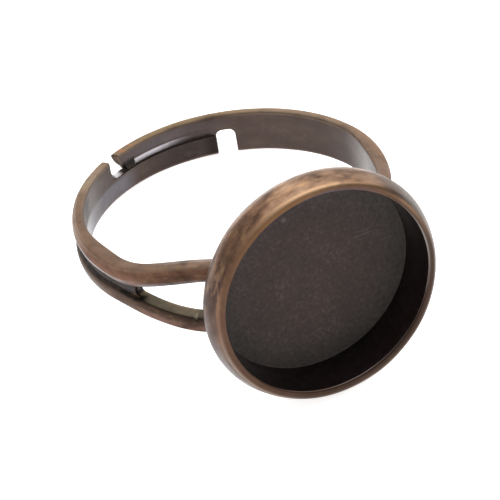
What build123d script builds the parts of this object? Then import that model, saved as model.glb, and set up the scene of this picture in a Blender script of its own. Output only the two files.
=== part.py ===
"""Ring blank: an adjustable finger ring with a round cup for a stone. Lengths in millimetres.

The ring is modelled about its finger hole: the hole's axis is Z and the cup looks along +X.
The band is two ribs side by side with a web between them. Towards the cup they part into a
fork of two arms on each side, soldered to the cup's back. At the other end the band is cut
into two tongues that lie side by side, so that it can be opened or squeezed to a finger.
At the end the ring is laid on its side, as it rests on a table.
"""
from build123d import *
import os

# Band
FINGER_D = 17.0          # inside of the band
RIB_W = 1.34             # foot of each rib, along the finger
RIB_T = 0.75             # from the finger hole to a rib's crest
SHOULDER_T = 0.57        # from the finger hole to the crease on each side of the crest
RIB_DRAFT = 0.23         # how far a rib's side leans in between its foot and that crease
WEB_T = 0.52             # from the finger hole to the web's outer face, between the ribs
WEB_INSET = 0.02         # the web's inner face stands back this far from the finger hole
FOOT_R = 0.10            # rounding of a rib's edges at the finger hole
CREASE_R = 0.12          # rounding of a rib's creases

# Fork, with angles about the finger hole from the cup's direction
FORK_START = 75.0        # the ribs begin to part, in degrees
FORK_SETTLED = 34.0      # the arms run level again
ARM_SPREAD = 1.05        # how far each arm has moved along the finger by then
ARM_STEPS = 8            # sections along the parting stretch
CROTCH_ANGLE = 61.0      # the opening between the arms ends here
CROTCH_R = 0.26          # rounding of that end
ARM_SEAT = 0.20          # how deep the arms' ends stand in the cup's back

# Split in the back of the band
UPPER_GAP_ANGLE = 210.2  # middle of the gap past the upper tongue's tip
UPPER_GAP_W = 1.40
LOWER_GAP_ANGLE = 158.2  # middle of the gap past the lower tongue's tip
LOWER_GAP_W = 1.15
GAP_CORNER_R = 0.38      # rounding at the bottom of the gaps
LOWER_GAP_RISE = 0.30    # how far the lower gap reaches past the line between the tongues
UPPER_GAP_RISE = 0.06
SLIT_W = 0.08            # between the tongues
EASE_W = 0.42            # bevel along the upper tongue's inner edge, along the finger
EASE_T = 0.12            # the same bevel, through the band
EASE_ANGLE = 198.0       # the bevel ends here, short of the tip

# Cup
CUP_D = 12.1             # inside, for a stone of 12
CUP_DEPTH = 2.50
CUP_FLOOR_T = 0.36
LIP_W = 0.63             # wall at the mouth
BELLY_OUT = 1.05         # the side's widest corner stands this far out from the inside
BELLY_DEPTH = 1.53       # that corner, below the mouth
CUP_SEAT = 8.25          # back of the cup, from the middle of the finger hole
CUP_SHIFT = 0.70         # the cup is soldered this far to the side
LIP_OUTER_R = 0.26
LIP_INNER_R = 0.10
BELLY_R = 1.20
BACK_R = 0.40
FLOOR_CORNER_R = 0.08

# Search for the angle at which the ring lies
STEEPEST_REST = 60.0
REST_STEPS = 14

FINGER_R = FINGER_D / 2
BAND_W = 2 * RIB_W
CREST_R = FINGER_R + RIB_T
CUT_REACH = 3 * RIB_T    # cutters reach this far to each side of the finger hole's wall
CUP_R = CUP_D / 2
MOUTH_X = CUP_SEAT + CUP_FLOOR_T + CUP_DEPTH
CUP_MIDDLE = Pos(0, CUP_SHIFT, 0)


def revolved(section, start, end):
    """A section drawn in the XZ plane, turned about the finger hole from one angle to another."""
    return revolve(section, Axis.Z, end - start).rotate(Axis.Z, start)


def rib_section(middle):
    """A rib's section in the XZ plane, with its middle at this height."""
    foot = RIB_W / 2
    crease = foot - RIB_DRAFT
    shoulder = FINGER_R + SHOULDER_T
    outline = [
        Line((FINGER_R, -foot), (FINGER_R, foot)),
        Line((FINGER_R, foot), (shoulder, crease)),
        ThreePointArc((shoulder, crease), (CREST_R, 0), (shoulder, -crease)),
        Line((shoulder, -crease), (FINGER_R, -foot)),
    ]
    section = make_face(outline)
    feet = section.vertices().filter_by_position(Axis.X, FINGER_R - FOOT_R, FINGER_R + FOOT_R)
    section = fillet(feet, FOOT_R)
    creases = section.vertices().group_by(Axis.X)[-1]
    section = fillet(creases, CREASE_R)
    return Plane.XZ * Pos(0, middle) * section


def web_section(half_height, inner, outer):
    """A plain strip about the band's middle, in the XZ plane."""
    return Plane.XZ * Pos((inner + outer) / 2, 0) * Rectangle(outer - inner, 2 * half_height)


def arm_rise(angle):
    """How far an arm has moved along the finger at this angle: level, slope, level."""
    share = (FORK_START - angle) / (FORK_START - FORK_SETTLED)
    share = min(max(share, 0), 1)
    return ARM_SPREAD * share * share * (3 - 2 * share)


def arm():
    """The upper arm on the +Y side, from the band to the cup."""
    step = (FORK_START - FORK_SETTLED) / ARM_STEPS
    sections = []
    for row in range(ARM_STEPS + 1):
        angle = FORK_START - step * row
        section = rib_section(RIB_W / 2 + arm_rise(angle))
        sections.append(section.rotate(Axis.Z, angle))
    return loft(sections) + revolved(rib_section(RIB_W / 2 + ARM_SPREAD), 0, FORK_SETTLED)


def upper_rib():
    """The whole upper rib: round the back of the finger, and an arm at each end."""
    right = arm()
    return revolved(rib_section(RIB_W / 2), FORK_START, 360 - FORK_START) + right + mirror(right, Plane.XZ)


def web():
    """The web between the ribs, with a rounded end in each crotch."""
    strip = web_section(RIB_W / 2, FINGER_R + WEB_INSET, FINGER_R + WEB_T)
    ring = revolved(strip, CROTCH_ANGLE, 360 - CROTCH_ANGLE)
    end = Pos(FINGER_R, 0, 0) * Rot(0, 90, 0) * Cylinder(CROTCH_R, CUT_REACH)
    return ring - end.rotate(Axis.Z, CROTCH_ANGLE) - end.rotate(Axis.Z, -CROTCH_ANGLE)


def gap(angle, width, bottom, side):
    """A rounded notch through the band, open towards +Z or -Z."""
    notch = Rectangle(width, BAND_W, align=(Align.CENTER, Align.MIN))
    notch = fillet(notch.vertices().group_by(Axis.Y)[0], GAP_CORNER_R)
    cutter = extrude(Plane.YZ * notch, CUT_REACH, both=True)
    cutter = Pos(FINGER_R, 0, bottom) * cutter
    if side < 0:
        cutter = mirror(cutter, Plane.XY)
    return cutter.rotate(Axis.Z, angle)


def split():
    """What is cut from the back of the band: two gaps, the line between the tongues and a bevel."""
    line = web_section(SLIT_W / 2, FINGER_R - CUT_REACH, FINGER_R + CUT_REACH)
    slit = revolved(line, LOWER_GAP_ANGLE, UPPER_GAP_ANGLE)
    corners = Polyline(
        (FINGER_R - EASE_T, 0),
        (FINGER_R + EASE_T, 0),
        (FINGER_R - EASE_T, 2 * EASE_W),
        close=True,
    )
    bevel = revolved(Plane.XZ * make_face(corners), LOWER_GAP_ANGLE, EASE_ANGLE)
    upper = gap(UPPER_GAP_ANGLE, UPPER_GAP_W, UPPER_GAP_RISE, 1)
    lower = gap(LOWER_GAP_ANGLE, LOWER_GAP_W, -LOWER_GAP_RISE, -1)
    return [slit, bevel, upper, lower]


def band():
    """Ribs and web, split at the back, with the arms' ends cut to the cup's back."""
    upper = upper_rib()
    room = Pos(CUP_SEAT + ARM_SEAT - CREST_R, 0, 0) * Box(2 * CREST_R, 3 * CREST_R, 4 * BAND_W)
    whole = (upper + mirror(upper, Plane.XY) + web()) & room
    for cutter in split():
        whole -= cutter
    return whole


def cup():
    """The round cup, turned about its own axis."""
    back = (CUP_SEAT, CUP_R)
    belly = (MOUTH_X - BELLY_DEPTH, CUP_R + BELLY_OUT)
    lip_outside = (MOUTH_X, CUP_R + LIP_W)
    lip_inside = (MOUTH_X, CUP_R)
    floor_edge = (CUP_SEAT + CUP_FLOOR_T, CUP_R)
    floor_middle = (CUP_SEAT + CUP_FLOOR_T, 0)
    back_middle = (CUP_SEAT, 0)
    corners = [back_middle, back, belly, lip_outside, lip_inside, floor_edge, floor_middle]
    section = make_face(Polyline(*corners, close=True))
    for point, radius in (
        (back, BACK_R),
        (belly, BELLY_R),
        (lip_outside, LIP_OUTER_R),
        (lip_inside, LIP_INNER_R),
        (floor_edge, FLOOR_CORNER_R),
    ):
        corner = section.vertices().sort_by_distance((*point, 0))[0]
        section = fillet(corner, radius)
    return CUP_MIDDLE * revolve(section, Axis.X, 360)


def lowest(part, tilt):
    """Height of the part's lowest point when its cup's end is lifted by this angle."""
    return part.rotate(Axis.Y, -tilt).bounding_box().min.Z


def rest_tilt(round_band, round_cup):
    """The tilt at which the band's far edge and the cup's side are both on the table."""
    least, most = 0, STEEPEST_REST
    for _ in range(REST_STEPS):
        tilt = (least + most) / 2
        if lowest(round_band, tilt) > lowest(round_cup, tilt):
            least = tilt
        else:
            most = tilt
    return tilt


def laid(part, tilt):
    """The part on its side, with the middle of its box over the origin and its lowest point at 0."""
    lying = part.rotate(Axis.Y, -tilt)
    box = lying.bounding_box()
    return Pos(-box.center().X, -box.center().Y, -box.min.Z) * lying


# Band and cup are one piece of soldered metal
split_band = band()
stone_cup = cup()
tilt = rest_tilt(split_band, stone_cup)
ring_blank = laid(split_band + stone_cup, tilt)
print(f"rests at a tilt of {tilt:.2f} degrees")

os.makedirs("parts", exist_ok=True)
export_step(ring_blank, "parts/ring_blank.step")
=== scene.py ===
"""Looks of the ring blank: a round cup for a stone on an adjustable forked band, in antique copper.

Shapes are made about the finger hole, in millimetres: its axis is Z and the cup looks along +X.
Angles run round that axis from the cup's direction, in degrees. to_row() gives the row frame.
"""
import math
import bmesh
import bpy
import numpy as np
from mathutils import Matrix, Vector, noise


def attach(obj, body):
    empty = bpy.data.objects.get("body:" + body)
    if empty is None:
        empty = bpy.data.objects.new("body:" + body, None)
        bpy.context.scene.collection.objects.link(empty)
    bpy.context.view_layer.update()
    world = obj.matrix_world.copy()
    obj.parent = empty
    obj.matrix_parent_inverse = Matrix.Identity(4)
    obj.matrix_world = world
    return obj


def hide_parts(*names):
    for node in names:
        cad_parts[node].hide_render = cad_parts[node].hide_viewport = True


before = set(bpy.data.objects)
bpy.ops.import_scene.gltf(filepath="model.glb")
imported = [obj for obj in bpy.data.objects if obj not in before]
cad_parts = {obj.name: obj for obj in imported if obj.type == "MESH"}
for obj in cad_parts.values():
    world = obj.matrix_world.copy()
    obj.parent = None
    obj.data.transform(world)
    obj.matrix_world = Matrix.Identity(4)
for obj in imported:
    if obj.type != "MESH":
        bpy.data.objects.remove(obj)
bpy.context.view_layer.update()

# Vector noise takes its seed from the clock unless one is set, and each run has to give one shape
UNEVEN_SEED = 3
noise.seed_set(UNEVEN_SEED)

# Place of the ring in the row frame: the finger hole's axis leans by the tilt
TILT = math.radians(17.2888)
HOLE = (-1.7433, 0.0, 3.7944)

# Band. A rib's draft is how far its side leans in between its foot and its shoulder
HOLE_R = 8.5
CREST_R = 9.25
SHOULDER_R = 9.07
OUTER_SHOULDER_R = 9.12
WEB_R = 9.02
RIB_W = 1.34
DRAFT = 0.23
OUTER_DRAFT = 0.09
FOOT_SIZE = 0.20
SHOULDER_SIZE = 0.30
CREASE_SIZE = 0.10
CREST_SHARES = np.linspace(0.62, -0.86, 14)
BAND_STEP = 0.7

# Fork
FORK_START = 75.0
FORK_SETTLED = 34.0
ARM_SPREAD = 1.05
ARM_END_X = 8.45
CROTCH = 61.0
CROTCH_R = 0.26
SLIMMER = 0.07           # the arms' outer shoulders lean in by this much more
SLIMMER_SPAN = 12.0
FULLER = 0.19            # the upper arms' groove sides lean in by this much less
FULLER_START = 80.0
FULLER_SPAN = 20.0
LESS_FULL = 0.3          # this share of it is gone again near the cup
LESS_FULL_START = 46.0
LESS_FULL_SPAN = 12.0
THICKER = 0.20           # the band's inner wall stands in by this much about one angle
THICK_ANGLE = 81.0
THICK_SPAN = 24.0

# Split: two gaps, the line between the tongues and a bevel along the upper tongue's inner edge
LOWER_GAP = 158.2
LOWER_GAP_W = 1.15
LOWER_GAP_RISE = 0.30
UPPER_GAP = 210.2
UPPER_GAP_W = 1.40
UPPER_GAP_RISE = 0.06
GAP_R = 0.38
GAP_EDGE = 0.06
TIP_TURN = 211.05        # the upper tongue's tip is cut as by a gap at this angle
TIP_LEAN = 0.605
TONGUE_END = 209.8       # the whole tip lies before this angle
END_TURN = 207.0         # the band's end past it is cut as by a gap at this angle
SLIT = 0.04
EASE_W = 0.44
EASE_T = 0.12
EASE_END = 198.0

# Places where the band's sections stand closer together: angle, half width and step
DENSE = [
    (CROTCH, 2.6, 0.16),
    (360 - CROTCH, 2.6, 0.16),
    (LOWER_GAP, 4.4, 0.12),
    (EASE_END, 0.9, 0.10),
]

# Cup
CUP_R = 6.05
CUP_Y = 0.70
SEAT_X = 8.25
FLOOR_X = 8.61
WALL_X = 10.2            # the inner wall begins to open out
MOUTH_X = 11.11
MOUTH_R = 6.20
LIP_R = 6.68
BELLY_X = 9.80
BELLY_R = 7.14
AXIS_R = 0.02
WIDER_LIP = 0.09         # the lip is wider by this much on one side
WIDER_AT = 293
WIDER_SPAN = 68
CUP_TURNS = 400
PROFILE_STEP = 0.18

SHARP_EDGE = math.radians(38)


def to_row(p):
    """Points about the finger hole, in millimetres, to the row frame in metres."""
    c, s = math.cos(TILT), math.sin(TILT)
    out = np.empty_like(p)
    out[:, 0] = p[:, 0] * c - p[:, 2] * s + HOLE[0]
    out[:, 1] = p[:, 1] + HOLE[1]
    out[:, 2] = p[:, 0] * s + p[:, 2] * c + HOLE[2]
    return out / 1000


def smooth(t):
    """0 up to 0, 1 from 1 on, and an easy slope between."""
    t = np.clip(t, 0, 1)
    return t * t * (3 - 2 * t)


def hill(angle, middle, width):
    """1 at the middle angle and 0 from the width on, both ways round, in degrees."""
    apart = np.abs((angle - middle + 180) % 360 - 180)
    return 1 - smooth(apart / width)


def folded(angle):
    """Angle from the cup's direction, 0 to 180, on either side."""
    return np.minimum(angle, 360 - angle)


def rib_middle(angle):
    """Height of the upper rib's middle, which rises where the ribs part into arms."""
    parted = smooth((FORK_START - folded(angle)) / (FORK_START - FORK_SETTLED))
    return RIB_W / 2 + ARM_SPREAD * parted


def flank(r, middle, draft):
    """Height of a rib's groove side at this radius."""
    return middle - RIB_W / 2 + draft * (r - HOLE_R) / (SHOULDER_R - HOLE_R)


def crotch_share(angle):
    """How far the opening between the arms reaches up their sides: 0 in the band, then up to 1."""
    s = np.clip(np.radians(CROTCH - folded(angle)) * HOLE_R, -CROTCH_R, 0)
    return np.sqrt(np.clip(1 - (s / CROTCH_R) ** 2, 0, 1))


def gap_corner(x):
    """Height of a gap's round corner at this distance from the corner's middle."""
    return np.sqrt(np.clip(GAP_R ** 2 - np.clip(x, 0, None) ** 2, 0, None))


def lower_gap_top(angle):
    """How high the lower gap bites into the upper tongue."""
    s = np.abs(np.radians(angle - LOWER_GAP)) * HOLE_R
    half = LOWER_GAP_RISE - GAP_R + gap_corner(s - (LOWER_GAP_W / 2 - GAP_R))
    return np.where(s > LOWER_GAP_W / 2, 0, np.clip(half, 0, None))


def corner(before, at, after, size, steps):
    """A rounded corner: points that leave the line before the corner and join the line after it."""
    def towards(end):
        d = end - at
        length = np.maximum(np.linalg.norm(d, axis=-1, keepdims=True), 1e-9)
        return at + d * np.minimum(size, 0.5 * length) / length
    a, b = towards(before), towards(after)
    t = np.linspace(0, 1, steps)[None, :, None]
    return (1 - t) ** 2 * a[:, None] + 2 * t * (1 - t) * at[:, None] + t * t * b[:, None]


def between(a, b, steps):
    """Points between the ends of two stretches, without the ends."""
    t = np.linspace(0, 1, steps + 2)[1:-1][None, :, None]
    return a[:, None] * (1 - t) + b[:, None] * t


def half_section(angle, cut, eased, foot_r, draft):
    """Sections of the band's upper half, radius and height, one row of points for each angle."""
    opening = crotch_share(angle)
    middle = rib_middle(angle)
    thick = hill(folded(angle), THICK_ANGLE, THICK_SPAN)
    inside = HOLE_R - THICKER * thick
    slimmer = SLIMMER * smooth((CROTCH - folded(angle)) / SLIMMER_SPAN)
    ones = np.ones_like(angle)

    def point(r, z):
        return np.stack([r * ones, z * ones], -1)

    c_in = point(inside, opening * flank(inside, middle, draft))
    c_foot = point(inside, middle + RIB_W / 2)
    c_shoulder = point(OUTER_SHOULDER_R, middle + RIB_W / 2 - OUTER_DRAFT - slimmer)
    c_crease = point(SHOULDER_R, middle - RIB_W / 2 + draft)
    c_root = point(WEB_R, flank(WEB_R, middle, draft))
    c_web = point(WEB_R, opening * flank(WEB_R, middle, draft))
    crest = []
    for share in CREST_SHARES:
        drop, half = CREST_R - SHOULDER_R, RIB_W / 2 - draft
        if share > 0:
            drop, half = CREST_R - OUTER_SHOULDER_R, RIB_W / 2 - OUTER_DRAFT
        arc_r = (half ** 2 + drop ** 2) / (2 * drop)
        turn = share * np.arcsin(half / arc_r)
        crest.append(point(CREST_R - arc_r + arc_r * np.cos(turn), middle + arc_r * np.sin(turn)))
    crest = np.stack(crest, 1)

    web_edge = corner(c_root, c_web, c_in, np.minimum(foot_r, 0.03), 4)
    in_edge = corner(c_web, c_in, c_foot, foot_r, 5)
    foot = corner(c_in, c_foot, c_shoulder, (FOOT_SIZE - 0.10 * thick)[:, None], 8)
    shoulder = corner(c_foot, c_shoulder, crest[:, 0], SHOULDER_SIZE, 9)
    crease = corner(crest[:, -1], c_crease, c_root, CREASE_SIZE, 5)
    section = np.concatenate([
        web_edge,
        between(web_edge[:, -1], in_edge[:, 0], 4),
        in_edge,
        between(in_edge[:, -1], foot[:, 0], 16),
        foot,
        between(foot[:, -1], shoulder[:, 0], 4),
        shoulder,
        crest,
        crease,
        c_root[:, None],
        between(c_root, web_edge[:, 0], 5),
    ], 1)
    section[..., 1] = np.maximum(section[..., 1], cut[:, None])
    # the bevel along the upper tongue's inner edge
    bevel = EASE_T * np.clip(1 - (section[..., 1] - cut[:, None]) / EASE_W, 0, 1)
    floor_r = inside[:, None] + bevel * eased[:, None]
    section[..., 0] = np.maximum(section[..., 0], floor_r)
    return section


def spread_angles(start, end):
    """Angles along a stretch of the band, closer together about the dense places."""
    out = [start]
    while out[-1] < end - 1e-6:
        at, step = out[-1], BAND_STEP
        for place, half, fine in DENSE:
            ahead = place - half - at
            if abs(at - place) < half:
                step = min(step, fine)
            elif at < place and ahead < BAND_STEP:
                step = min(step, max(ahead, fine))
        out.append(min(at + step, end))
    return np.array(out)


def gap_end(section, turn, gap, side):
    """Rows that carry a section on to a gap's wall and round its edge, on side 1 or -1 of the gap."""
    place, width, rise, lean = gap
    r, z = section[:, 0], section[:, 1]
    half = width / 2 - GAP_R + gap_corner(rise + GAP_R - z)
    if lean:
        half = width / 2 + lean * (1 - z / RIB_W)
    wall = place + side * np.degrees(np.arcsin(half / r))
    edge = side * math.degrees(GAP_EDGE / HOLE_R)
    rows, turns = [], []
    for t in np.linspace(0.25, 1, 4):
        rows.append(section)
        turns.append(turn + (wall + edge - turn) * t)
    tangent = np.roll(section, -1, 0) - np.roll(section, 1, 0)
    length = np.maximum(np.linalg.norm(tangent, axis=1, keepdims=True), 1e-9)
    inward = np.stack([-tangent[:, 1], tangent[:, 0]], 1) / length
    if ((section.mean(0) - section) * inward).sum() < 0:
        inward = -inward
    for a in np.radians([22.5, 45, 67.5, 90]):
        rows.append(section + inward * GAP_EDGE * (1 - math.cos(a)))
        turns.append(wall + edge * (1 - math.sin(a)))
    return np.array(rows), np.array(turns)


def tube(start, end, upper, start_gap=None, end_gap=None):
    """One stretch of a half band: rows of points about the finger hole, up to the gaps' walls."""
    angle = spread_angles(start, end)
    cut = ((angle > LOWER_GAP) & (angle < END_TURN)) * SLIT
    eased = np.zeros_like(angle)
    if upper:
        cut = np.maximum(cut, lower_gap_top(angle))
        eased = smooth((angle - LOWER_GAP - 3.0) / 4.0) * smooth((EASE_END + 0.5 - angle) / 1.0)
    foot_r = (0.034 * (cut > 0) + 0.1 * crotch_share(angle))[:, None]
    fuller = FULLER * upper * smooth((FULLER_START - folded(angle)) / FULLER_SPAN)
    fuller = fuller * (1 - LESS_FULL * smooth((LESS_FULL_START - folded(angle)) / LESS_FULL_SPAN))
    section = half_section(angle, cut, eased, foot_r, DRAFT - fuller)
    turn = np.repeat(angle[:, None], section.shape[1], 1)
    if start_gap:
        rows, turns = gap_end(section[0], turn[0], start_gap, 1)
        section, turn = np.concatenate([rows[::-1], section]), np.concatenate([turns[::-1], turn])
    if end_gap:
        rows, turns = gap_end(section[-1], turn[-1], end_gap, -1)
        section, turn = np.concatenate([section, rows]), np.concatenate([turn, turns])
    a = np.radians(turn)
    x = np.minimum(section[..., 0] * np.cos(a), ARM_END_X)
    y = section[..., 0] * np.sin(a)
    z = section[..., 1] if upper else -section[..., 1]
    return np.stack([x, y, z], -1)


def skin(rows, flip=False):
    """Vertices and faces of a grid of rows that closes round each row and at both ends."""
    n, k = rows.shape[:2]
    faces = []
    for i in range(n - 1):
        for j in range(k):
            a, b = i * k + j, i * k + (j + 1) % k
            quad = (a, b, b + k, a + k)
            faces.append(quad[::-1] if flip else quad)
    for i, forward in ((0, not flip), (n - 1, flip)):
        ring = tuple(range(i * k, (i + 1) * k))
        faces.append(ring if forward else ring[::-1])
    return rows.reshape(-1, 3), faces


def wobble(verts, amount, size, seed):
    """Small unevenness of a cast and tumbled surface."""
    out = verts.copy()
    shift = Vector((seed * 17.3, seed * 5.1, seed * 9.7))
    for i, p in enumerate(verts):
        q = Vector(p) / size + shift
        out[i] += np.array(noise.noise_vector(q)) * amount
    return out


def tidy_mesh(mesh):
    """Joins doubled points, turns the faces outwards and marks the sharp edges."""
    bm = bmesh.new()
    bm.from_mesh(mesh)
    bmesh.ops.remove_doubles(bm, verts=bm.verts, dist=2e-7)
    bmesh.ops.dissolve_degenerate(bm, edges=bm.edges, dist=1e-7)
    bmesh.ops.recalc_face_normals(bm, faces=bm.faces)
    for f in bm.faces:
        f.smooth = True
    for e in bm.edges:
        if len(e.link_faces) == 2 and e.calc_face_angle(0) > SHARP_EDGE:
            e.smooth = False
    bm.to_mesh(mesh)
    bm.free()


def build(name, pieces, amount, size, seed):
    """One mesh object from several skins, with its unevenness."""
    verts, faces, base = [], [], 0
    for v, f in pieces:
        verts.append(v)
        faces += [tuple(i + base for i in face) for face in f]
        base += len(v)
    verts = wobble(np.concatenate(verts), amount, size, seed)
    mesh = bpy.data.meshes.new(name)
    mesh.from_pydata(to_row(verts).tolist(), [], faces)
    mesh.validate()
    obj = bpy.data.objects.new(name, mesh)
    bpy.context.scene.collection.objects.link(obj)
    tidy_mesh(mesh)
    return obj


# Band: two half bands, each parted by its gap. A gap is its angle, width, rise and lean
band_end = (END_TURN, UPPER_GAP_W, UPPER_GAP_RISE, 0)
tongue_tip = (TIP_TURN, UPPER_GAP_W, UPPER_GAP_RISE, TIP_LEAN)
lower_gap = (LOWER_GAP, LOWER_GAP_W, -5.0, 0)
stretches = [
    skin(tube(3.0, 201.2, upper=True, end_gap=tongue_tip)),
    skin(tube(213.3, 357.0, upper=True, start_gap=band_end)),
    skin(tube(3.0, 152.5, upper=False, end_gap=lower_gap), flip=True),
    skin(tube(164.0, 357.0, upper=False, start_gap=lower_gap), flip=True),
]
band = build("band", stretches, amount=0.010, size=1.6, seed=1)


# Cup, turned about its own axis
def rounded_profile(corners, steps):
    """A profile through corners (x, radius, rounding), with close points on the arcs."""
    places = [np.array(c[:2]) for c in corners]
    out = [places[0]]
    for i in range(1, len(corners) - 1):
        a, b, c = (places[j][None] for j in (i - 1, i, i + 1))
        out += list(corner(a, b, c, corners[i][2], steps)[0])
    out.append(places[-1])
    fine = []
    for a, b in zip(out[:-1], out[1:]):
        count = max(1, int(np.linalg.norm(b - a) / PROFILE_STEP))
        for t in range(count):
            fine.append(a + (b - a) * t / count)
    fine.append(out[-1])
    return np.array(fine)


profile = rounded_profile([
    (FLOOR_X, AXIS_R, 0),
    (FLOOR_X, CUP_R - 0.04, 0.03),
    (WALL_X, CUP_R, 0.6),
    (MOUTH_X - 0.07, MOUTH_R, 0.06),
    (MOUTH_X, MOUTH_R + 0.08, 0.06),
    (MOUTH_X, LIP_R, 0.30),
    (BELLY_X, BELLY_R, 0.72),
    (SEAT_X, CUP_R, 0.30),
    (SEAT_X, AXIS_R, 0),
], steps=8)
along, radius = profile[:, :1], profile[:, 1:]
turns = np.arange(CUP_TURNS) * 2 * math.pi / CUP_TURNS
lip = smooth((radius - 6.35) / 0.2) * (along > 10.4)
radius = radius + WIDER_LIP * lip * hill(np.degrees(turns), WIDER_AT, WIDER_SPAN)
rows = np.stack([
    np.repeat(along, CUP_TURNS, 1),
    radius * np.cos(turns) + CUP_Y,
    radius * np.sin(turns),
], -1)
cup = build("cup", [skin(rows, flip=True)], amount=0.012, size=2.2, seed=2)


# Materials
def new_material(name, metallic=0.0):
    """A material, its node tree and its shader."""
    mat = bpy.data.materials.new(name)
    mat.use_nodes = True
    shader = mat.node_tree.nodes["Principled BSDF"]
    shader.inputs["Metallic"].default_value = metallic
    return mat, mat.node_tree, shader


def node(tree, kind, **values):
    """A node with values for its sockets or settings."""
    n = tree.nodes.new(kind)
    for key, value in values.items():
        if key in n.inputs:
            n.inputs[key].default_value = value
        else:
            setattr(n, key, value)
    return n


def attribute(tree, name, output="Fac"):
    """What is painted on the mesh under this name."""
    return node(tree, "ShaderNodeAttribute", attribute_name=name).outputs[output]


def math_node(tree, operation, a, b):
    n = node(tree, "ShaderNodeMath", operation=operation)
    for i, value in enumerate((a, b)):
        if isinstance(value, (int, float)):
            n.inputs[i].default_value = value
        else:
            tree.links.new(value, n.inputs[i])
    return n.outputs[0]


def mix(tree, factor, a, b):
    """Two colours mixed by a factor that is kept from 0 to 1."""
    n = node(tree, "ShaderNodeMix", data_type="RGBA", clamp_factor=True)
    tree.links.new(factor, n.inputs["Factor"])
    for key, value in (("A", a), ("B", b)):
        socket = [i for i in n.inputs if i.name == key and i.type == "RGBA"][0]
        if isinstance(value, tuple):
            socket.default_value = (*value, 1)
        else:
            tree.links.new(value, socket)
    return [o for o in n.outputs if o.type == "RGBA"][0]


def ramp(tree, source, stops):
    n = tree.nodes.new("ShaderNodeValToRGB")
    for element, (place, colour) in zip(n.color_ramp.elements, stops):
        element.position = place
        element.color = (*colour, 1)
    tree.links.new(source, n.inputs[0])
    return n.outputs[0]


def cloud(tree, place, scale, detail, rough, stretch=None):
    """Noise from 0 to 1."""
    if stretch:
        m = node(tree, "ShaderNodeMapping", Scale=stretch)
        tree.links.new(place, m.inputs["Vector"])
        place = m.outputs[0]
    n = node(tree, "ShaderNodeTexNoise", Scale=scale, Detail=detail, Roughness=rough)
    tree.links.new(place, n.inputs["Vector"])
    return n.outputs["Fac"]


def bump(tree, shader, height, strength, distance):
    """Fine relief on a shader."""
    n = node(tree, "ShaderNodeBump", Strength=strength, Distance=distance)
    tree.links.new(height, n.inputs["Height"])
    tree.links.new(n.outputs["Normal"], shader.inputs["Normal"])


def worn_copper():
    """Copper in the tint of its place, worn lighter and stained darker in patches."""
    mat, tree, shader = new_material("antique_copper", metallic=1.0)
    place = node(tree, "ShaderNodeTexCoord").outputs["Object"]
    flow = attribute(tree, "flow", "Vector")
    wear = attribute(tree, "wear")

    patch = math_node(tree, "SUBTRACT", cloud(tree, flow, 1.25, 3.0, 0.55), 0.5)
    speck = math_node(tree, "SUBTRACT", cloud(tree, place, 3000.0, 4.0, 0.6), 0.5)
    swing = math_node(tree, "ADD", math_node(tree, "MULTIPLY", wear, 4.2), 0.9)
    swing = math_node(tree, "MULTIPLY", patch, swing)
    level = math_node(tree, "ADD", swing, math_node(tree, "MULTIPLY", speck, 0.45))

    stain = math_node(tree, "MULTIPLY", level, -1.2)
    colour = mix(tree, stain, attribute(tree, "tint", "Color"), (0.050, 0.030, 0.024))
    shine = math_node(tree, "MULTIPLY", level, 1.3)
    shine = math_node(tree, "MULTIPLY", shine, math_node(tree, "ADD", wear, 0.12))
    colour = mix(tree, shine, colour, (0.50, 0.325, 0.21))
    dashes = math_node(tree, "SUBTRACT", cloud(tree, flow, 3.4, 2.0, 0.5), 0.54)
    dashes = math_node(tree, "MULTIPLY", math_node(tree, "MULTIPLY", dashes, 4.5), wear)
    colour = mix(tree, dashes, colour, (0.52, 0.30, 0.15))
    tree.links.new(colour, shader.inputs["Base Color"])

    gloss = math_node(tree, "MULTIPLY", level, 0.12)
    rough = math_node(tree, "SUBTRACT", attribute(tree, "dull"), gloss)
    tree.links.new(rough, shader.inputs["Roughness"])
    bump(tree, shader, cloud(tree, place, 9000.0, 3.0, 0.6), strength=0.10, distance=0.00002)
    return mat


def frosted_floor():
    """The cup's floor: a dull dark finish with frosted grain, scratched where it is scarred."""
    mat, tree, shader = new_material("antique_copper_frosted")
    shader.inputs["Roughness"].default_value = 0.75
    shader.inputs["Specular IOR Level"].default_value = 0.15
    place = node(tree, "ShaderNodeTexCoord").outputs["Object"]

    grain = cloud(tree, place, 4800.0, 2.5, 0.55)
    shade = math_node(tree, "SUBTRACT", cloud(tree, place, 600.0, 2.0, 0.5), 0.5)
    level = math_node(tree, "ADD", grain, math_node(tree, "MULTIPLY", shade, 0.35))
    light = math_node(tree, "MULTIPLY", math_node(tree, "SUBTRACT", level, 0.53), 2.0)
    dark = math_node(tree, "MULTIPLY", math_node(tree, "SUBTRACT", 0.50, level), 2.4)
    colour = mix(tree, light, attribute(tree, "tint", "Color"), (0.135, 0.102, 0.094))
    colour = mix(tree, dark, colour, (0.040, 0.032, 0.030))

    lines = node(tree, "ShaderNodeTexWave", bands_direction="Z", Scale=1250.0, Distortion=3.0)
    tree.links.new(place, lines.inputs["Vector"])
    scratch = math_node(tree, "SUBTRACT", lines.outputs["Fac"], 0.80)
    scratch = math_node(tree, "MULTIPLY", scratch, 3.4)
    scratch = math_node(tree, "MULTIPLY", scratch, attribute(tree, "scar"))
    colour = mix(tree, scratch, colour, (0.14, 0.122, 0.117))
    tree.links.new(colour, shader.inputs["Base Color"])
    bump(tree, shader, grain, strength=0.25, distance=0.00003)
    return mat


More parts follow.
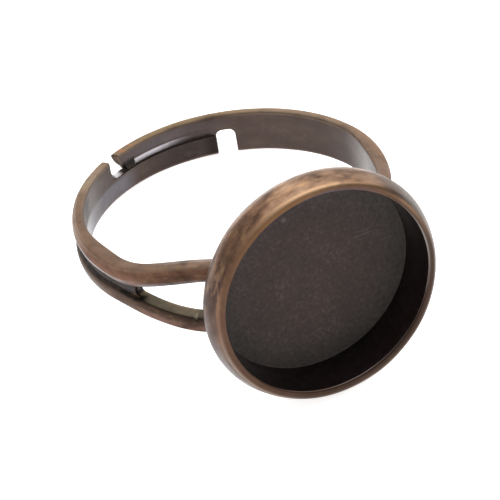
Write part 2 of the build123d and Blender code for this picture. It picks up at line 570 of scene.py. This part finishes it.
def black_wall():
    """The cup's inner wall: polished and nearly black."""
    mat, tree, shader = new_material("antique_copper_black", metallic=1.0)
    place = node(tree, "ShaderNodeTexCoord").outputs["Object"]
    grain = cloud(tree, place, 1500.0, 4.0, 0.7, stretch=(1.0, 1.0, 3.0))
    colour = ramp(tree, grain, [(0.35, (0.085, 0.074, 0.072)), (0.7, (0.150, 0.130, 0.130))])
    tree.links.new(colour, shader.inputs["Base Color"])
    rough = ramp(tree, grain, [(0.3, (0.10, 0.10, 0.10)), (0.7, (0.20, 0.20, 0.20))])
    tree.links.new(rough, shader.inputs["Roughness"])
    return mat


def ring_frame(mesh):
    """The mesh's points about the finger hole, in millimetres."""
    co = np.empty(len(mesh.vertices) * 3)
    mesh.vertices.foreach_get("co", co)
    p = co.reshape(-1, 3) * 1000 - np.array(HOLE)
    c, s = math.cos(TILT), math.sin(TILT)
    return np.stack([p[:, 0] * c + p[:, 2] * s, p[:, 1], -p[:, 0] * s + p[:, 2] * c], 1)


def paint(mesh, name, values):
    """Keeps one number or one colour for each point of the mesh."""
    kind, key = ("FLOAT", "value") if values.ndim == 1 else ("FLOAT_COLOR", "color")
    if values.ndim == 2:
        values = np.concatenate([values, np.ones((len(values), 1))], 1)
    layer = mesh.attributes.new(name, kind, "POINT")
    layer.data.foreach_set(key, values.astype(np.float32).ravel())


def blend(base, colour, amount):
    """Colours with one more laid over them by an amount for each point, kept from 0 to 1."""
    amount = np.clip(amount, 0, 1)[:, None]
    return base * (1 - amount) + np.array(colour) * amount


# Tints by place: brown outside, painted shade inside the band, dark in the groove, painted light
# between the tongues
BROWN = (0.200, 0.104, 0.068)
UNDER_SHADE = (0.125, 0.082, 0.062)
DARK = (0.069, 0.051, 0.045)
DEEP = (0.018, 0.015, 0.014)
NEAR_BLACK = (0.012, 0.010, 0.009)
OLIVE = (0.212, 0.184, 0.132)
STRIP_SHEEN = (0.43, 0.41, 0.44)
MAUVE = (0.120, 0.100, 0.103)
CUP_SHADE = (0.110, 0.064, 0.046)

# Band. Side is the height above a rib's middle, away from the groove
p = ring_frame(band.data)
z = p[:, 2]
r = np.hypot(p[:, 0], p[:, 1])
turn = np.degrees(np.arctan2(p[:, 1], p[:, 0])) % 360
side = np.abs(z) - rib_middle(turn)
upper = smooth(z / 0.06)
lower = 1 - upper
arms = smooth((CROTCH + 2 - folded(turn)) / 4)
inside = (1 - smooth((r - HOLE_R - 0.02) / 0.08)) * (1 - smooth((side - 0.47) / 0.08))
inside_high = inside * smooth(z / 0.3)
inside_low = inside * smooth(-z / 0.3)
on_crest = r > 9.0
tint = np.tile(np.array(BROWN), (len(p), 1))

# upper rib: painted light on its top side along the open edge, stronger at some angles, and a painted
# highlight on its crest at the left
edge = upper * smooth((side - 0.3) / 0.2)
tint = blend(tint, (0.240, 0.150, 0.102), edge)
tint = blend(tint, (0.300, 0.210, 0.135), edge * hill(turn, 160, 110))
tint = blend(tint, (0.285, 0.190, 0.095), edge * hill(turn, 178, 50))
tint = blend(tint, (0.290, 0.200, 0.145), edge * hill(turn, 330, 50))
tint = blend(tint, (0.390, 0.330, 0.280), 0.8 * (side > -0.3) * on_crest * hill(turn, 250, 26))
# a lighter line along the shoulder: worn copper, and painted light over the shade of the crease there
wear_and_sheen_line = np.exp(-(((side - 0.50) / 0.08) ** 2))
tint = blend(tint, (0.330, 0.215, 0.150), 0.45 * upper * (r > 8.95) * wear_and_sheen_line)
tint = blend(tint, (0.390, 0.295, 0.205), edge * hill(turn, 224, 15))
# painted glints, orange, on the top side near the tongue's tip
tip_glints = 0.7 * hill(turn, 202.2, 1.4) + 0.5 * hill(turn, 197.8, 1.0)
tint = blend(tint, (0.560, 0.200, 0.075), upper * smooth((side - 0.4) / 0.15) * tip_glints)

# lower rib: painted shade, darker than the upper rib, lighter along its open edge and near black
# towards the groove, with a painted highlight on its crest at the left
tint = blend(tint, UNDER_SHADE, lower)
tint = blend(tint, (0.180, 0.125, 0.108), lower * smooth((side - 0.30) / 0.15))
low_crest = lower * smooth((side + 0.12) / 0.25) * on_crest
tint = blend(tint, (0.360, 0.335, 0.325), low_crest * hill(turn, 256, 34))
tint = blend(tint, DEEP, lower * smooth((-0.14 - 0.14 * arms - side) / 0.22) * (r > 8.9))

# arms: a painted reflection, olive, on the lower arm's top face; the upper arm's crest darker, the
# lower arm lighter away from the groove; a painted highlight along the upper arm's edge by the groove
low_arm_top = arms * smooth((0.05 - side) / 0.1) * smooth((9.10 - r) / 0.06) * lower
tint = blend(tint, OLIVE, low_arm_top)
tint = blend(tint, (0.162, 0.088, 0.058), arms * upper * smooth((0.3 - side) / 0.2) * on_crest)
tint = blend(tint, (0.225, 0.135, 0.107), arms * lower * smooth((side + 0.1) / 0.2))
under_edge = 0.9 * arms * upper * smooth((-0.34 - side) / 0.12) * (r > 8.95)
tint = blend(tint, (0.270, 0.242, 0.245), under_edge)

# groove: dark, a little lighter near the left crotch; and a painted highlight, a silvery line, along
# the upper rib beside it
away = (turn < LOWER_GAP - 5) + (turn > UPPER_GAP + 5)
web = np.maximum(away, smooth((r - 8.94) / 0.06))
groove = (np.abs(z) < 0.30) * smooth((9.14 - r) / 0.08) * web
tint = blend(tint, (0.042, 0.038, 0.038), groove)
tint = blend(tint, (0.075, 0.070, 0.074), groove * hill(turn, 294, 11) * (z > -0.15))
sheen_line = smooth((0.08 - 0.22 * smooth((turn - 255) / 45) - side) / 0.12) * upper
sheen_line = sheen_line * smooth((r - 9.025) / 0.02) * hill(turn, 271, 36)
tint = blend(tint, (0.46, 0.43, 0.44), sheen_line)

# inner wall: painted shade, deepest on the lower tongue, with painted reflections lighter on its
# lower half at the left and by the right arm; painted highlights along its top edge, brightest on the
# left arm
tint = blend(tint, DARK, inside)
tint = blend(tint, (0.083, 0.068, 0.070), inside * smooth((z - 0.5) / 0.1) * hill(turn, 185, 34))
low_tongue = 0.60 * hill(turn, 175, 28) + 0.6 * hill(turn, 163, 6)
tint = blend(tint, DEEP, inside * smooth(-z / 0.1) * low_tongue)
tint = blend(tint, (0.125, 0.117, 0.127), inside_low * smooth((turn - 196) / 12) * (turn < 300))
tint = blend(tint, (0.27, 0.26, 0.29), inside_low * hill(turn, 250, 22))
tint = blend(tint, (0.165, 0.158, 0.160), inside_low * hill(turn, 65, 28))
left_wall = smooth((turn - 222) / 20) * (turn < 300)
tint = blend(tint, (0.060, 0.045, 0.046), inside_high * left_wall)
tint = blend(tint, (0.050, 0.041, 0.037), inside_high * hill(turn, 62, 30))
wall_edge = np.exp(-(((side - 0.58) / 0.065) ** 2))
tint = blend(tint, (0.210, 0.160, 0.130), 0.85 * upper * (r < 8.72) * wall_edge)
arm_edge = 0.8 * arms * upper * (r < 8.80) * smooth((side - 0.50) / 0.08)
tint = blend(tint, (0.450, 0.380, 0.340), arm_edge * hill(turn, 324, 26))

# upper tongue: painted shade on its bevelled side and on its cut tip, near black inside the tip
tongue = (z > 0) * (z < 0.6) * (r < 8.8) * (turn > 161) * (turn < 199)
tint = blend(tint, (0.060, 0.047, 0.045), tongue)
tip_half = UPPER_GAP_W / 2 + TIP_LEAN * (1 - z / RIB_W)
tip_wall = TIP_TURN - np.degrees(np.arcsin(tip_half / r))
on_tip = smooth((turn - tip_wall + 0.30) / 0.2) * (turn < TONGUE_END) * (z > 0.05) * (r > 8.6)
tint = blend(tint, (0.080, 0.052, 0.036), on_tip)
tip = (z > 0) * smooth((turn - EASE_END) / 0.5) * (turn < TONGUE_END)
tip = tip * smooth((HOLE_R + 0.6 - r) / 0.3) * smooth((0.80 - z) / 0.3)
tint = blend(tint, (0.014, 0.012, 0.010), tip)

# painted light, as seen through the upper gap: its bottom near white, and the band's end past it
# light grey
gap_wall = END_TURN + np.degrees(np.arcsin(UPPER_GAP_W / 2 / r))
gap_light = smooth((turn - 204) / 2) * smooth((gap_wall + 0.4 - turn) / 0.2) * (r > HOLE_R + 0.06)
tint = blend(tint, (0.90, 0.89, 0.90), gap_light * (z < 0) * (z > -0.08))
tint = blend(tint, (0.42, 0.40, 0.41), gap_light * (z >= 0) * (z < 1.0) * (turn > END_TURN))

# left crotch: painted shadow in black along the web's end and low down, and painted light on the end
# wall: light grey at its foot, grey, and a yellow highlight
crotch = (r < 9.1) * hill(turn, 299.3, 3.2)
web_end = hill(turn, 298.3, 1.6) * (np.abs(z) < 0.7) * smooth((r - 8.52) / 0.06)
web_line = 1.6 * hill(turn, 298.0, 1.5) * (np.abs(z) < 0.62) * (r > 8.9) * (r < 9.06)
tint = blend(tint, NEAR_BLACK, web_end * smooth((r - 8.84) / 0.06) * (r < 9.0))
tint = blend(tint, NEAR_BLACK, web_line)
web_foot = web_end * smooth((8.88 - r) / 0.06) * smooth((z + 0.18) / 0.08)
tint = blend(tint, (0.55, 0.53, 0.52), web_foot)
crotch_grey = crotch * (turn > 299.2) * smooth((z + 0.20) / 0.08) * (z < 0.3)
tint = blend(tint, (0.24, 0.23, 0.22), crotch_grey)
yellow = crotch * (turn > 298.6) * (turn < 300.4) * hill(z * 100, -33, 11)
tint = blend(tint, (0.24, 0.20, 0.11), yellow)
tint = blend(tint, NEAR_BLACK, crotch * smooth((-0.38 - z) / 0.08) * (z > -0.75))

# a painted highlight on a bead left by soldering on the lower left arm, over a dark spot
outside = r > 8.8
dark_spot = np.hypot((turn - 320.9) * 0.158, z + 1.36)
bead = np.hypot((turn - 320.5) * 0.158, z + 1.22)
tint = blend(tint, NEAR_BLACK, outside * hill(dark_spot, 0, 0.16))
tint = blend(tint, (0.50, 0.44, 0.32), outside * hill(bead, 0, 0.14))

# painted reflection: a light strip on the bevel
bevel = (z > 0) * (z < EASE_W) * (r < HOLE_R + 0.2) * (turn < EASE_END + 0.2)
tint = blend(tint, STRIP_SHEEN, bevel * smooth((turn - 171) / 18))

dust_places = smooth((turn - 228) / 12) * (turn < 300) + hill(turn, 62, 30)
dusty = 0.22 * inside * upper * dust_places
paint(band.data, "tint", tint)
paint(band.data, "flow", np.stack([np.radians(turn) * CREST_R * 0.5, r, z * 1.2], 1))
paint(band.data, "wear", (0.10 + 0.20 * hill(folded(turn), 36, 30)) * (1 - inside))
paint(band.data, "dull", 0.64 + 0.06 * arms - (0.44 + 0.06 * arms) * inside - 0.30 * sheen_line + dusty)

# Cup. Around is the angle about its own axis, 90 towards +Z and 180 towards -Y
p = ring_frame(cup.data)
x, z = p[:, 0], p[:, 2]
r = np.hypot(p[:, 1] - CUP_Y, z)
around = np.degrees(np.arctan2(z, p[:, 1] - CUP_Y)) % 360
back = smooth((SEAT_X + 0.3 - x) / 0.2)
top = smooth((x - MOUTH_X + 0.06) / 0.05) * smooth((LIP_R - 0.06 - r) / 0.1)
rim = top * smooth((MOUTH_R + 0.13 + 0.10 * hill(around, 70, 36) - r) / 0.07)
edge = np.exp(-(((r - LIP_R + 0.03) / 0.08) ** 2)) * smooth((x - MOUTH_X + 0.35) / 0.2)
tint = np.tile(np.array(CUP_SHADE), (len(p), 1))

# side: painted light on the upper side, a painted highlight at the right edge, painted reflections
# lilac grey about 210 degrees round and lighter near the seat; mauve low down and darker at two
# places
tint = blend(tint, (0.250, 0.152, 0.098), hill(around, 86, 75))
tint = blend(tint, (0.290, 0.162, 0.100), 0.9 * hill(around, 124, 36))
tint = blend(tint, MAUVE, smooth((10.15 - x) / 0.5) * (1 - hill(around, 95, 100)))
tint = blend(tint, (0.068, 0.055, 0.044), 0.9 * hill(around, 30, 34))
tint = blend(tint, (0.068, 0.044, 0.038), 0.9 * hill(around, 158, 26))
right_light = 0.6 * hill(around, 356, 26) * smooth((r - LIP_R + 0.04) / 0.1)
tint = blend(tint, (0.330, 0.310, 0.310), right_light)
tint = blend(tint, (0.135, 0.115, 0.119), smooth((10.8 - x) / 0.25) * hill(around, 210, 50))
tint = blend(tint, (0.210, 0.195, 0.200), 0.8 * smooth((10.85 - x) / 0.2) * hill(around, 216, 26))
tint = blend(tint, (0.36, 0.24, 0.18), smooth((9.75 - x) / 0.3) * hill(around, 125, 75))

# lip: painted shade on its top, lighter at the top of the cup and darkest at the bottom, mauve along
# the inner rim; painted highlights along its outer edge, gold at the top where the copper is also
# worn, light at the sides, darker at the bottom; a painted glint on the inner rim at the right
tint = blend(tint, (0.097, 0.054, 0.036), top)
tint = blend(tint, (0.070, 0.046, 0.036), top * hill(around, 10, 60))
outer_top = top * smooth((r - MOUTH_R - 0.18) / 0.08)
tint = blend(tint, (0.210, 0.125, 0.076), outer_top * hill(around, 32, 28))
tint = blend(tint, (0.034, 0.022, 0.017), top * hill(around, 295, 108))
tint = blend(tint, (0.150, 0.075, 0.032), 0.85 * top * hill(around, 102, 72))
tint = blend(tint, (0.090, 0.066, 0.072), rim * hill(around, 85, 55))
tint = blend(tint, (0.80, 0.50, 0.29), edge * hill(around, 98, 52))
tint = blend(tint, (0.270, 0.145, 0.090), edge * 0.8 * hill(around, 145, 52))
tint = blend(tint, (0.105, 0.077, 0.064), edge * hill(around, 275, 95))
tint = blend(tint, (0.300, 0.225, 0.185), edge * hill(around, 212, 44))
tint = blend(tint, (0.275, 0.240, 0.222), edge * hill(around, 0, 52))
glint = np.exp(-(((r - MOUTH_R - 0.05) / 0.05) ** 2)) * smooth((x - MOUTH_X + 0.10) / 0.08)
tint = blend(tint, (0.22, 0.20, 0.185), glint * hill(around, 8, 34))

# back: painted shade; floor with its edge painted lighter against the wall's shade, a light spot and
# two scratched places
tint = blend(tint, DARK, back)
on_floor = (x < FLOOR_X + 0.03) * (x > FLOOR_X - 0.1) * (r < CUP_R)
tint = blend(tint, (0.067, 0.048, 0.045), on_floor)
tint = blend(tint, (0.072, 0.063, 0.058), on_floor * smooth((r - 3.2) / 2.6))
spot = np.hypot(p[:, 1] + 0.31, z - 3.86)
tint = blend(tint, (0.17, 0.16, 0.16), on_floor * hill(spot, 0, 0.2))
scar = hill(np.hypot(p[:, 1] - 4.22, (z - 1.12) * 2.0), 0, 1.0)
scar += 0.8 * hill(np.hypot(p[:, 1] - 5.60, (z - 0.30) * 1.6), 0, 0.5)
# wear on the side, strongest on its upper half, where its light gold patches are also painted sheen
outer_side = smooth((r - CUP_R - 0.5) / 0.2) * smooth((x - 8.8) / 0.5)
paint(cup.data, "scar", on_floor * scar)
paint(cup.data, "tint", tint)
paint(cup.data, "flow", p * (1.25, 0.42, 0.42) + 20)
paint(cup.data, "wear", outer_side * (0.20 + 0.42 * hill(around, 105, 80)))
paint(cup.data, "dull", 0.36 - 0.1 * back)

COPPER, FROSTED, BLACK = range(3)
finishes = [worn_copper(), frosted_floor(), black_wall()]
band.data.materials.append(finishes[COPPER])
for finish in finishes:
    cup.data.materials.append(finish)
for face in cup.data.polygons:
    q = np.mean([p[i] for i in face.vertices], 0)
    out = math.hypot(q[1] - CUP_Y, q[2])
    if out < MOUTH_R + 0.02 and q[0] > FLOOR_X - 0.1 and q[0] < MOUTH_X - 0.06:
        flat = q[0] < FLOOR_X + 0.03 and out < CUP_R - 0.03
        face.material_index = FROSTED if flat else BLACK
for piece in (band, cup):
    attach(piece, "root")
    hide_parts("ring_blank")


# Floor: white paper that glows a little, so that it stays white in the corners
FLOOR_HALF = 3
floor_mesh = bpy.data.meshes.new("floor")
floor_corners = [(-FLOOR_HALF, -FLOOR_HALF, 0), (FLOOR_HALF, -FLOOR_HALF, 0),
                 (FLOOR_HALF, FLOOR_HALF, 0), (-FLOOR_HALF, FLOOR_HALF, 0)]
floor_mesh.from_pydata(floor_corners, [], [(0, 1, 2, 3)])
floor = bpy.data.objects.new("floor", floor_mesh)
bpy.context.scene.collection.objects.link(floor)
paper, tree, shader = new_material("paper")
shader.inputs["Base Color"].default_value = (0.93, 0.93, 0.93, 1)
shader.inputs["Roughness"].default_value = 0.9
shader.inputs["Emission Color"].default_value = (1, 1, 1, 1)
shader.inputs["Emission Strength"].default_value = 0.75
floor_mesh.materials.append(paper)

# The studio: a white dome over and behind the ring, dimmer towards the camera
world = bpy.data.worlds.new("studio")
bpy.context.scene.world = world
world.use_nodes = True
tree = world.node_tree
sky = tree.nodes["Background"]
sky.inputs["Strength"].default_value = 1.0
way = node(tree, "ShaderNodeTexCoord").outputs["Generated"]
dot = node(tree, "ShaderNodeVectorMath", operation="DOT_PRODUCT")
dot.inputs[1].default_value = (-0.4545, 0.4545, 0.766)
tree.links.new(way, dot.inputs[0])
dome = node(tree, "ShaderNodeMapRange", interpolation_type="SMOOTHSTEP")
for key, value in (("From Min", 0.42), ("From Max", 0.85), ("To Min", 0.48), ("To Max", 1.60)):
    dome.inputs[key].default_value = value
tree.links.new(dot.outputs["Value"], dome.inputs["Value"])
tree.links.new(dome.outputs[0], sky.inputs["Color"])

EYE = Vector((0.1256052, -0.0601708, 0.1601473))
AIM = Vector((0.0013976, -0.0004911, 0.0037031))
ROLL = math.radians(-1.02)
lens = bpy.data.cameras.new("camera")
lens.sensor_width = 36.0
lens.lens = 263.78
lens.clip_start = 0.01
lens.clip_end = 10.0
camera = bpy.data.objects.new("camera", lens)
camera.matrix_world = (Matrix.Translation(EYE)
                       @ (AIM - EYE).to_track_quat("-Z", "Y").to_matrix().to_4x4()
                       @ Matrix.Rotation(ROLL, 4, "Z"))
bpy.context.scene.collection.objects.link(camera)
bpy.context.scene.camera = camera
bpy.context.scene.view_settings.view_transform = "Standard"

bpy.context.view_layer.update()
